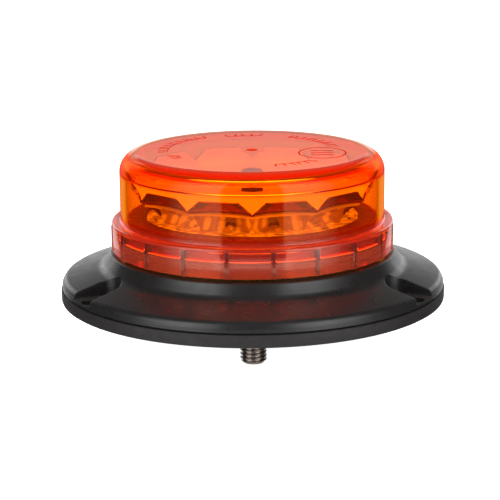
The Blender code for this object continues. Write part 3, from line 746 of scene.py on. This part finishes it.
def crown_loop(radius, height):
    """One loop round the reflector, from functions of the angle off a scoop's centre."""
    pitch = 360 / SCOOPS
    count = SCOOPS * SCOOP_STEPS
    found = []
    for step in range(count):
        angle = step * 360 / count
        phi = angle % pitch - pitch / 2
        found.append((*polar(radius(phi), angle - 90), height(phi)))
    return found


def reflector(crown_material, plate_material):
    def outer(part, inset=0.0, lower=0.0):
        def height(phi):
            return CROWN_BOTTOM + part * (crown_top(phi) - lower - CROWN_BOTTOM)

        return crown_loop(lambda phi: scoop_radius(phi, height(phi)) - inset, height)

    def circle(radius, height):
        return crown_loop(lambda phi: radius, lambda phi: height)

    def edge(height):
        return crown_loop(lambda phi: scoop_radius(phi, PLATE_TOP) - CROWN_WALL - 0.02, lambda phi: height)

    loops = [outer(level / 20) for level in range(20)]
    loops += [outer(1.0, 0.0, 0.15), outer(1.0, 0.15), outer(1.0, CROWN_WALL - LINER_WALL)]
    loops += [outer(part, CROWN_WALL - LINER_WALL) for part in (0.7, 0.35, 0.12, 0.0)]
    mesh = loops_mesh("reflector_crown", loops, closed=True, sharp=42)
    add("reflector_crown", mesh, crown_material, "base", "mirror_metal", "reflector")
    loops = [outer(part, CROWN_WALL - LINER_WALL + 0.02) for part in (0.0, 0.12, 0.35, 0.7)]
    loops += [outer(1.0, CROWN_WALL - LINER_WALL + 0.02), outer(1.0, CROWN_WALL, 0.1)]
    loops += [outer(part, CROWN_WALL) for part in (0.7, 0.35, 0.12, 0.0)]
    mesh = loops_mesh("reflector_liner", loops, closed=True, sharp=42)
    add("reflector_liner", mesh, plate_material, "base", "mirror_metal")
    under = PLATE_TOP - PLATE_THICKNESS
    loops = [edge(PLATE_TOP), circle(5.6, PLATE_TOP), circle(5.2, PLATE_TOP - 0.35)]
    loops += [circle(2.3, PLATE_TOP - 0.35), circle(2.3, CROWN_BOTTOM), circle(5.5, CROWN_BOTTOM)]
    loops += [circle(5.5, under), edge(under)]
    mesh = loops_mesh("reflector_plate", loops, closed=True, sharp=28)
    add("reflector_plate", mesh, plate_material, "base", "mirror_metal")


def cross_recess(obj, top, size):
    """Sinks a cross recess into a screw's head."""
    shape = bmesh.new()
    box_into(shape, (size, size * 0.24, size * 0.9), (0.0, 0.0, top))
    first = cutter("recess_a", finish_mesh("recess_a", shape))
    shape = bmesh.new()
    box_into(shape, (size * 0.24, size, size * 0.9), (0.0, 0.0, top))
    second = cutter("recess_b", finish_mesh("recess_b", shape))
    boolean(obj, [first, second])
    obj.data.set_sharp_from_angle(angle=math.radians(30))


def pan_screw(material):
    """The reflector's screw, with a tall pan head."""
    seat, radius, height, shank, end = PAN_SCREW
    outline = [(0.0, seat + height), (0.70 * radius, seat + height), (0.88 * radius, seat + 0.97 * height)]
    outline += [(0.96 * radius, seat + 0.90 * height), (0.99 * radius, seat + 0.78 * height)]
    outline += [(radius, seat + 0.5 * height), (radius, seat)]
    outline += [(shank, seat), (shank, end + 0.4), (shank * 0.7, end), (0.0, end)]
    mesh = revolve("reflector_pan_screw", outline, 48)
    obj = add("reflector_pan_screw", mesh, material, "base", "dark_steel", "reflector_screw")
    cross_recess(obj, seat + height, radius * 1.15)


# ------------------------------------------------------------------- LED deck


def led(number, body_material, lamp_material):
    """A ceramic package with solder fillets, and a silicone dome over the phosphor."""
    name = f"led_{number:02d}"
    angle = -90 + (number - 0.5) * 360 / SCOOPS
    low = BOARD_TOP + GAP
    shape = bmesh.new()
    box_into(shape, (3.5, 3.5, 0.55), (0.0, 0.0, low + 0.275))
    for side in (-1, 1):
        box_into(shape, (0.5, 2.9, 0.18), (side * 1.55, 0.0, low + 0.09))
    bmesh.ops.bevel(shape, geom=shape.edges, offset=0.06, segments=2, affect="EDGES")
    package = finish_mesh(name + "_package", shape)
    dome = [(0.0, low + 1.75)]
    dome += arc((0.0, low + 0.50), 1.25, 80, 8, 8)
    dome += [(1.42, low + 0.60), (1.5, low + 0.50), (0.0, low + 0.50)]
    lamp = revolve(name + "_lamp", dome, 32)
    place = Matrix.Translation((*(c * MM for c in polar(LED_CIRCLE, angle)), 0.0))
    place = place @ Matrix.Rotation(math.radians(angle), 4, "Z")
    package.transform(place)
    lamp.transform(place)
    add(name + "_package", package, body_material, "base", "led_package", name)
    add(name + "_lamp", lamp, lamp_material, "base", "led_package")


def led_board(material, copper):
    outline = [(1.9, BOARD_TOP), (BOARD_RADIUS - 0.1, BOARD_TOP), (BOARD_RADIUS, BOARD_TOP - 0.1)]
    outline += [(BOARD_RADIUS, BOARD_BOTTOM + 0.1), (BOARD_RADIUS - 0.1, BOARD_BOTTOM), (1.9, BOARD_BOTTOM)]
    mesh = revolve("led_board_disc", outline, closed=True)
    obj = add("led_board_disc", mesh, material, "base", "board_white", "led_board")
    holes = []
    for number, angle in enumerate(POST_ANGLES):
        shape = bmesh.new()
        bar_into(shape, 1.8, BOARD_BOTTOM - 1, BOARD_TOP + 1, polar(POST_CIRCLE, angle), 24)
        holes.append(cutter(f"board_hole_{number}", finish_mesh(f"board_hole_{number}", shape)))
    boolean(obj, holes)
    shape = bmesh.new()
    for number in range(SCOOPS):
        angle = -90 + (number + 0.5) * 360 / SCOOPS
        for side in (-1, 1):
            centre = (*polar(LED_CIRCLE + side * 2.2, angle), BOARD_TOP + 0.04)
            box_into(shape, (0.9, 3.1, 0.07), centre, angle)
    add("led_pads", finish_mesh("led_pads", shape), copper, "base", "zinc_steel")


def bezel(material):
    low, high = NECK_TOP + GAP, 31.0
    outline = [(38.8, high - 0.3), (39.1, high), (44.6, high), (45.0, high - 0.4)]
    outline += [(45.0, low + 0.2), (44.8, low), (38.8, low)]
    mesh = revolve("bezel_ring", outline, closed=True)
    add("bezel_ring", mesh, material, "base", "deep_amber", "inner_bezel")


def seal(material):
    low, high = SPIGOT_TOP + GAP, LIP_BOTTOM - GAP
    outline = [(45.8, high), (46.7, high), (46.9, high - 0.2), (46.9, low + 0.2)]
    outline += [(46.7, low), (45.8, low), (45.6, low + 0.2), (45.6, high - 0.2)]
    mesh = revolve("seal_ring", outline, closed=True)
    add("seal_ring", mesh, material, "seal_carrier", "black_rubber", "lens_seal")


# ------------------------------------------------------------------------ base


def prism(name, points, bottom, top, angle):
    """A closed outline, (x, y) points, made into a solid and turned about Z."""
    shape = bmesh.new()
    rotation = Matrix.Rotation(math.radians(angle), 4, "Z")
    rings = [[shape.verts.new(rotation @ Vector((x, y, z))) for x, y in points] for z in (bottom, top)]
    lower, upper = rings
    shape.faces.new(lower)
    shape.faces.new(upper)
    for i in range(len(points)):
        j = (i + 1) % len(points)
        shape.faces.new((lower[i], lower[j], upper[j], upper[i]))
    return cutter(name, finish_mesh(name, shape))


def pocket_cutter(name, angle):
    """The U-shaped screw pocket's space: round at its inner end, open at the rim."""
    half = POCKET_WIDTH / 2
    points = arc((POCKET_END + half, 0.0), half, 90, 270, 24)
    points += [(76.0, -half), (76.0, half)]
    return prism(name, points, POCKET_FLOOR, 30.0, angle)


def slot_cutter(name, angle):
    half = (SLOT_LENGTH - SLOT_WIDTH) / 2
    points = arc((SCREW_CIRCLE + half, 0.0), SLOT_WIDTH / 2, -90, 90, 16)
    points += arc((SCREW_CIRCLE - half, 0.0), SLOT_WIDTH / 2, 90, 270, 16)
    return prism(name, points, -2.0, 12.0, angle)


def lug_block(name, centre):
    """A base lug: a block that follows the lens's helix."""
    outer, bottom, top = BASE_LUG
    shape = bmesh.new()
    rows = []
    for step in range(13):
        turn = 2 * LUG_HALF * (step / 12 - 0.5)
        rise = LEAD * turn / 360
        corners = ((46.6, bottom), (outer, bottom), (outer, top), (46.6, top))
        places = [(*polar(radius, centre + turn), height + rise) for radius, height in corners]
        rows.append([shape.verts.new(place) for place in places])
    for lower, upper in zip(rows, rows[1:]):
        for i in range(4):
            j = (i + 1) % 4
            shape.faces.new((lower[i], lower[j], upper[j], upper[i]))
    shape.faces.new(rows[0])
    shape.faces.new(rows[-1])
    return cutter(name, finish_mesh(name, shape))


def base_outline():
    """The base's cross-section: cavity, neck, spigot, shoulder, boss and flange."""
    points = [(5.4, FLOOR_TOP), (CAVITY_RADIUS - 1.0, FLOOR_TOP), (CAVITY_RADIUS, FLOOR_TOP + 1.0)]
    points += [(CAVITY_RADIUS, NECK_TOP), (NECK_RADIUS - 0.3, NECK_TOP), (NECK_RADIUS, NECK_TOP - 0.3)]
    points += [(NECK_RADIUS, SPIGOT_TOP), (SPIGOT_RADIUS - 0.2, SPIGOT_TOP)]
    points += [(SPIGOT_RADIUS, SPIGOT_TOP - 0.2), (SPIGOT_RADIUS, SHOULDER_TOP)]
    points += arc((51.3, SHOULDER_TOP - 0.7), 0.7, 90, 10, 5)
    points += arc((58.4, 16.8), 5.2, 205, 256, 10)
    points += arc((66.8, 6.6), 2.5, 76, 12, 8)
    points += [(RIM_RADIUS, 6.6), (RIM_RADIUS, BASE_BOTTOM + 0.2), (RIM_RADIUS - 0.2, BASE_BOTTOM)]
    return points + [(5.4, BASE_BOTTOM)]


def base(material):
    mesh = revolve("base_shell", base_outline(), 288, closed=True, sharp=24)
    obj = add("base_shell", mesh, material, "base", "black_plastic", "base_housing")
    shape = bmesh.new()
    for angle in POST_ANGLES:
        bar_into(shape, 3.5, FLOOR_TOP - 1, 25.9, polar(POST_CIRCLE, angle))
    bar_into(shape, 13.0, FLOOR_TOP - 1, 16.0, segments=96)
    added = [cutter("posts", finish_mesh("posts", shape))]
    added += [lug_block(f"lug_{number}", LUG_ANGLE + number * 360 / LUGS) for number in range(LUGS)]
    boolean(obj, added, "UNION")
    cutters = []
    for number, angle in enumerate(POCKET_ANGLES):
        cutters += [pocket_cutter(f"pocket_{number}", angle), slot_cutter(f"slot_{number}", angle)]
    shape = bmesh.new()
    for angle in POST_ANGLES:
        bar_into(shape, 1.8, 16.0, 27.0, polar(POST_CIRCLE, angle), 24)
    bar_into(shape, 17.6 / math.sqrt(3), 6.0, 17.5, segments=6)
    bar_into(shape, 5.6, 0.0, 9.0, GROMMET_PLACE)
    bar_into(shape, 3.5, 0.0, 9.0, VENT_PLACE)
    cutters.append(cutter("holes", finish_mesh("holes", shape)))
    boolean(obj, cutters)
    obj.data.shade_smooth()
    obj.data.set_sharp_from_angle(angle=math.radians(24))


def pad(material):
    outline = [(5.3, PAD_TOP), (69.4, PAD_TOP), (69.8, PAD_TOP - 0.15), (PAD_RADIUS, PAD_TOP - 0.5)]
    outline += [(PAD_RADIUS, 0.9), (69.8, 0.4), (69.2, 0.0), (5.3, 0.0)]
    mesh = revolve("gasket_pad", outline, 288, closed=True)
    obj = add("gasket_pad", mesh, material, "base", "black_rubber", "base_gasket")
    cutters = [slot_cutter(f"pad_slot_{number}", angle) for number, angle in enumerate(POCKET_ANGLES)]
    shape = bmesh.new()
    bar_into(shape, 7.1, -1.0, 6.0, GROMMET_PLACE)
    bar_into(shape, 5.0, -1.0, 6.0, VENT_PLACE)
    cutters.append(cutter("pad_holes", finish_mesh("pad_holes", shape)))
    boolean(obj, cutters)
    obj.data.set_sharp_from_angle(angle=math.radians(30))


# ------------------------------------------------------------------------ stud


def thread_radius(phase):
    """Radius of the thread at this share of its pitch: a flat crest, straight flanks and a rounded root."""
    phase = abs(2 * (phase % 1) - 1)
    share = min(1.0, max(0.0, (phase - 0.12) / 0.66))
    return STUD_RADIUS - 0.04 - THREAD_DEPTH * share


def mounting_stud(material):
    """The stud: fine rings, each with the thread's radius at its height for every angle, and a hex head."""
    around, step = 96, THREAD_PITCH / 20
    top, bottom = 7.0, STUD_END
    loops = [[(0.0, 0.0, bottom)]]
    count = round((top - bottom) / step)
    for row in range(count + 1):
        height = bottom + step * row
        ring = []
        for column in range(around):
            radius = thread_radius(height / THREAD_PITCH - column / around)
            radius = min(radius, STUD_RADIUS - 1.25 + (height - bottom) * 1.0)
            ring.append((*polar(radius, column * 360 / around), height))
        loops.append(ring)
    neck = [polar(STUD_RADIUS - 0.05, column * 360 / around) for column in range(around)]
    for height in (top + 0.2, HEAD_BOTTOM):
        loops.append([(*point, height) for point in neck])
    loops.append([(0.0, 0.0, HEAD_BOTTOM)])
    mesh = loops_mesh("stud_shank", loops, sharp=50)
    add("stud_shank", mesh, material, "base", "zinc_steel", "mounting_stud")
    shape = bmesh.new()
    bar_into(shape, 17.0 / math.sqrt(3), HEAD_BOTTOM, 17.0, segments=6)
    bmesh.ops.bevel(shape, geom=shape.edges, offset=0.3, segments=2, affect="EDGES")
    add("stud_head", finish_mesh("stud_head", shape), material, "base", "zinc_steel")


# --------------------------------------------------------------------- studio


def studio():
    scene = bpy.context.scene
    scene.view_settings.view_transform = "Standard"
    camera = bpy.data.cameras.new("camera")
    camera.lens = CAMERA_LENS
    camera.sensor_width = 36.0
    camera.shift_x = CAMERA_SHIFT
    camera.clip_start, camera.clip_end = 0.01, 20.0
    holder = bpy.data.objects.new("camera", camera)
    scene.collection.objects.link(holder)
    holder.matrix_world = (
        Matrix.Translation(CAMERA_PLACE)
        @ Matrix.Rotation(math.radians(90 - CAMERA_PITCH), 4, "X")
        @ Matrix.Rotation(math.radians(CAMERA_ROLL), 4, "Z")
    )
    scene.camera = holder


def floor():
    """A plain white floor that is seen from above only and keeps soft shadows."""
    shape = bmesh.new()
    bmesh.ops.create_grid(shape, x_segments=1, y_segments=1, size=4.0)
    mesh = bpy.data.meshes.new("floor")
    shape.to_mesh(mesh)
    shape.free()
    obj = bpy.data.objects.new("floor", mesh)
    bpy.context.scene.collection.objects.link(obj)
    obj.location.z = FLOOR_HEIGHT * MM
    obj.visible_glossy = False
    obj.visible_transmission = False
    look = Look("pale_floor", (0.85, 0.85, 0.85), 0.9, Emission_Strength=0.93)
    look.put("Emission Color", (1.0, 1.0, 1.0, 1.0))
    clear = look.node("ShaderNodeBsdfTransparent").outputs["BSDF"]
    below = look.node("ShaderNodeNewGeometry").outputs["Backfacing"]
    look.link(look.mixed(below, look.shader.outputs["BSDF"], clear), look.output.inputs["Surface"])
    mesh.materials.append(look.material)


def ramp(tree, source, stops):
    made = tree.nodes.new("ShaderNodeValToRGB")
    elements = made.color_ramp.elements
    while len(elements) < len(stops):
        elements.new(0.5)
    for element, (position, value) in zip(elements, stops):
        element.position = position
        element.color = (value, value, value, 1.0)
    tree.links.new(source, made.inputs["Fac"])
    return made.outputs["Color"]


def calculate(tree, operation, *values):
    made = tree.nodes.new("ShaderNodeMath")
    made.operation = operation
    for socket, value in zip(made.inputs, values):
        if isinstance(value, (int, float)):
            socket.default_value = value
        else:
            tree.links.new(value, socket)
    return made.outputs["Value"]


def world():
    """Studio surroundings: the backdrop, sheen, fill and softboxes. The camera itself sees plain white."""
    made = bpy.data.worlds.new("studio")
    made.use_nodes = True
    bpy.context.scene.world = made
    tree = made.node_tree
    background = tree.nodes["Background"]
    direction = tree.nodes.new("ShaderNodeTexCoord").outputs["Generated"]
    split = tree.nodes.new("ShaderNodeSeparateXYZ")
    tree.links.new(direction, split.inputs["Vector"])
    x, y, z = split.outputs
    squares = [calculate(tree, "MULTIPLY", axis, axis) for axis in (x, y)]
    level = calculate(tree, "SQRT", calculate(tree, "ADD", *squares))
    front = calculate(tree, "DIVIDE", y, calculate(tree, "MAXIMUM", level, 0.001))
    share = calculate(tree, "MULTIPLY_ADD", front, -0.5, 0.5)
    height = calculate(tree, "MULTIPLY_ADD", z, 0.5, 0.5)

    def source(round_about, upwards):
        return calculate(tree, "MULTIPLY", ramp(tree, share, round_about), ramp(tree, height, upwards))

    back = calculate(tree, "ADD", source(BACKDROP, BACKDROP_HEIGHT), source(SOFTBOXES, SOFTBOX_HEIGHT))
    low = calculate(tree, "ADD", source(SHEEN, SHEEN_HEIGHT), source(FILL, FILL_HEIGHT))
    path = tree.nodes.new("ShaderNodeLightPath")
    seen = tree.nodes.new("ShaderNodeMix")
    seen.data_type = "RGBA"
    seen.inputs[7].default_value = (0.97, 0.97, 0.97, 1.0)
    tree.links.new(path.outputs["Is Camera Ray"], seen.inputs[0])
    tree.links.new(calculate(tree, "ADD", back, low), seen.inputs[6])
    tree.links.new(seen.outputs[2], background.inputs["Color"])


def overhead_lamp():
    """A large soft lamp over the object, which no surface mirrors."""
    data = bpy.data.lights.new("overhead", "AREA")
    data.shape = "RECTANGLE"
    data.size, data.size_y = 0.9, 0.9
    data.energy = 17.0
    obj = bpy.data.objects.new("overhead", data)
    bpy.context.scene.collection.objects.link(obj)
    obj.location = (0.0, 0.1, 1.1)
    obj.rotation_euler = (-obj.location).to_track_quat("-Z", "Y").to_euler()
    obj.visible_camera = False
    obj.visible_glossy = False


# ----------------------------------------------------------------------- build


def carried_over(looks):
    """Better materials for the CAD nodes that stay as they are."""
    for name, obj in frame["nodes"].items():
        if obj.hide_render:
            continue
        slot = next(row["material_slot"] for row in frame["record"]["subparts"] if row["node"] == name)
        obj.data.materials.clear()
        obj.data.materials.append(looks[slot])
        obj.data.shade_smooth()
        obj.data.set_sharp_from_angle(angle=math.radians(30))


def main():
    looks = {
        "amber_lens": amber_lens(),
        "black_plastic": black_plastic(),
        "black_rubber": black_rubber(),
        "zinc_steel": zinc_steel(),
        "dark_steel": dark_steel(),
        "mirror_metal": mirror_metal(),
        "deep_amber": red_plastic(),
        "board_white": led_board_look(),
        "board_green": board("green_board", (0.006, 0.09, 0.03), (0.012, 0.15, 0.05)),
        "chip_black": grained("moulded_epoxy", (0.012, 0.012, 0.012), (0.025, 0.025, 0.026), 0.55),
        "grey_plastic": grained("grey_nylon", (0.20, 0.21, 0.22), (0.28, 0.29, 0.30), 0.5),
        "aluminium": grained("plain_aluminium", (0.70, 0.70, 0.71), (0.82, 0.82, 0.83), 0.32, 1.0),
        "brass": grained("turned_brass", (0.62, 0.42, 0.16), (0.75, 0.54, 0.24), 0.28, 1.0),
        "led_package": grained("led_ceramic", (0.72, 0.70, 0.62), (0.82, 0.80, 0.72), 0.45),
    }
    lens(looks["amber_lens"])
    moulding_marks(frosted_amber())
    ribs(rib_painted_shade())
    lip_edge(amber_bead_painted_glow())
    reflector(looks["mirror_metal"], satin_metal())
    pan_screw(looks["dark_steel"])
    bezel(looks["deep_amber"])
    seal(looks["black_rubber"])
    led_board(looks["board_white"], looks["zinc_steel"])
    lamp_look = phosphor()
    for number in range(1, SCOOPS + 1):
        led(number, looks["led_package"], lamp_look)
    base(looks["black_plastic"])
    pad(looks["black_rubber"])
    mounting_stud(looks["zinc_steel"])
    carried_over(looks)
    studio()
    floor()
    world()
    overhead_lamp()


main()
